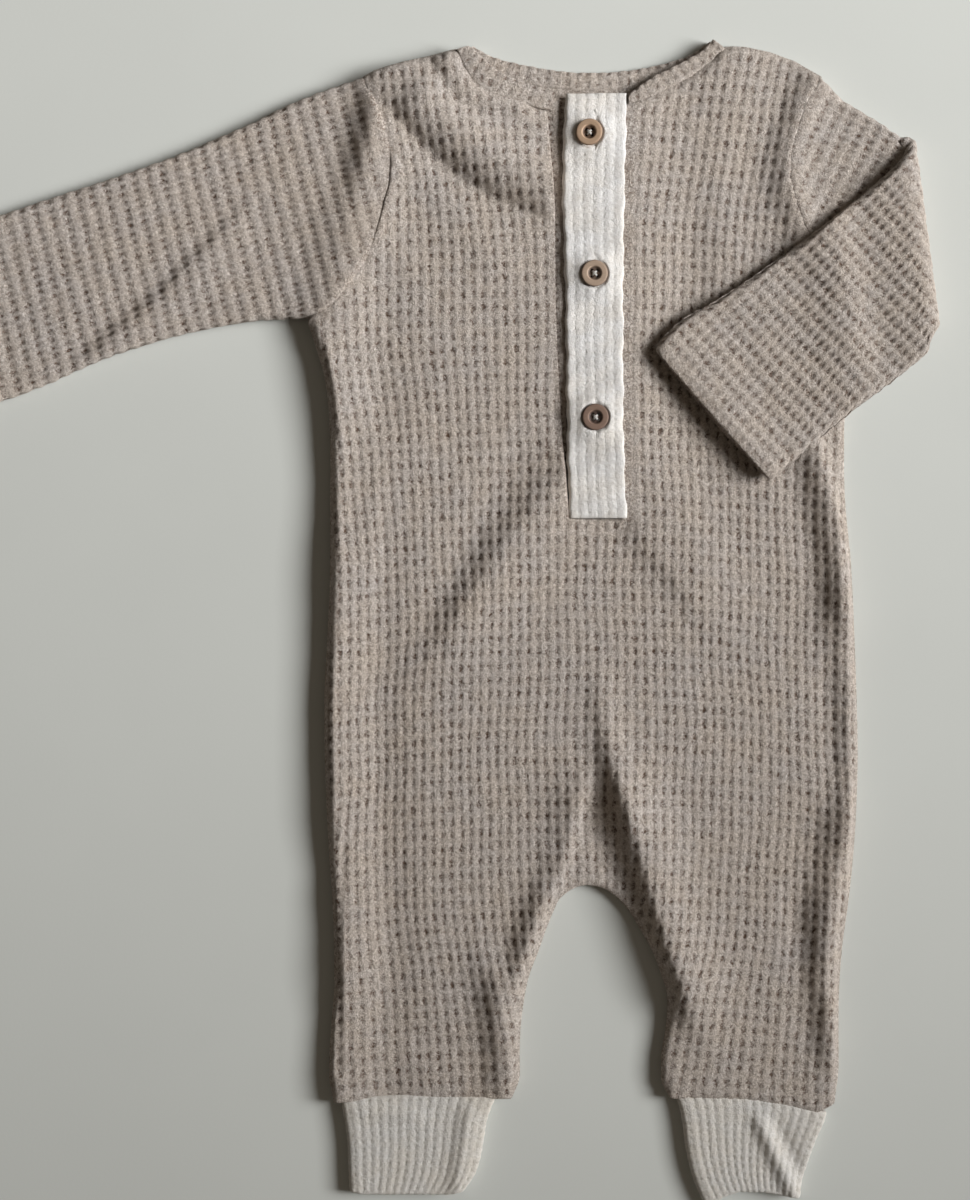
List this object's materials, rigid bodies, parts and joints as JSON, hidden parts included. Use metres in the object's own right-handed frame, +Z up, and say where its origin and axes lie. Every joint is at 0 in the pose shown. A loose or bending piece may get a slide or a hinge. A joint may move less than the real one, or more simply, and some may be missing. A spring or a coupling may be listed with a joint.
{
  "type": "baby romper",
  "caption": "Long-sleeved baby romper in oatmeal waffle knit, laid flat with one sleeve folded over the chest, with a cream ribbed button placket and cream ankle cuffs.",
  "frame": {"origin": "middle of the garment's whole box, on the surface it lies on", "axes": "+X toward the sleeve that is folded over, +Y from the ankle cuffs to the neck, +Z up from the surface, out of the front"},
  "size_m": [0.4274, 0.5006, 0.0155],
  "materials": {
    "waffle_knit": "matte",
    "rib_knit": "matte",
    "button_wood": "satin"
  },
  "bodies": {
    "root": {"back_body": "waffle_knit", "front_body": "waffle_knit", "right_sleeve": "waffle_knit", "left_sleeve": "waffle_knit", "neck_binding_back": "waffle_knit", "neck_binding_right": "waffle_knit", "neck_binding_left": "waffle_knit", "placket_top": "rib_knit", "placket_under": "rib_knit", "button_1": "button_wood", "button_2": "button_wood", "button_3": "button_wood", "right_ankle_cuff": "rib_knit", "left_ankle_cuff": "rib_knit"}
  },
  "joints": []
}
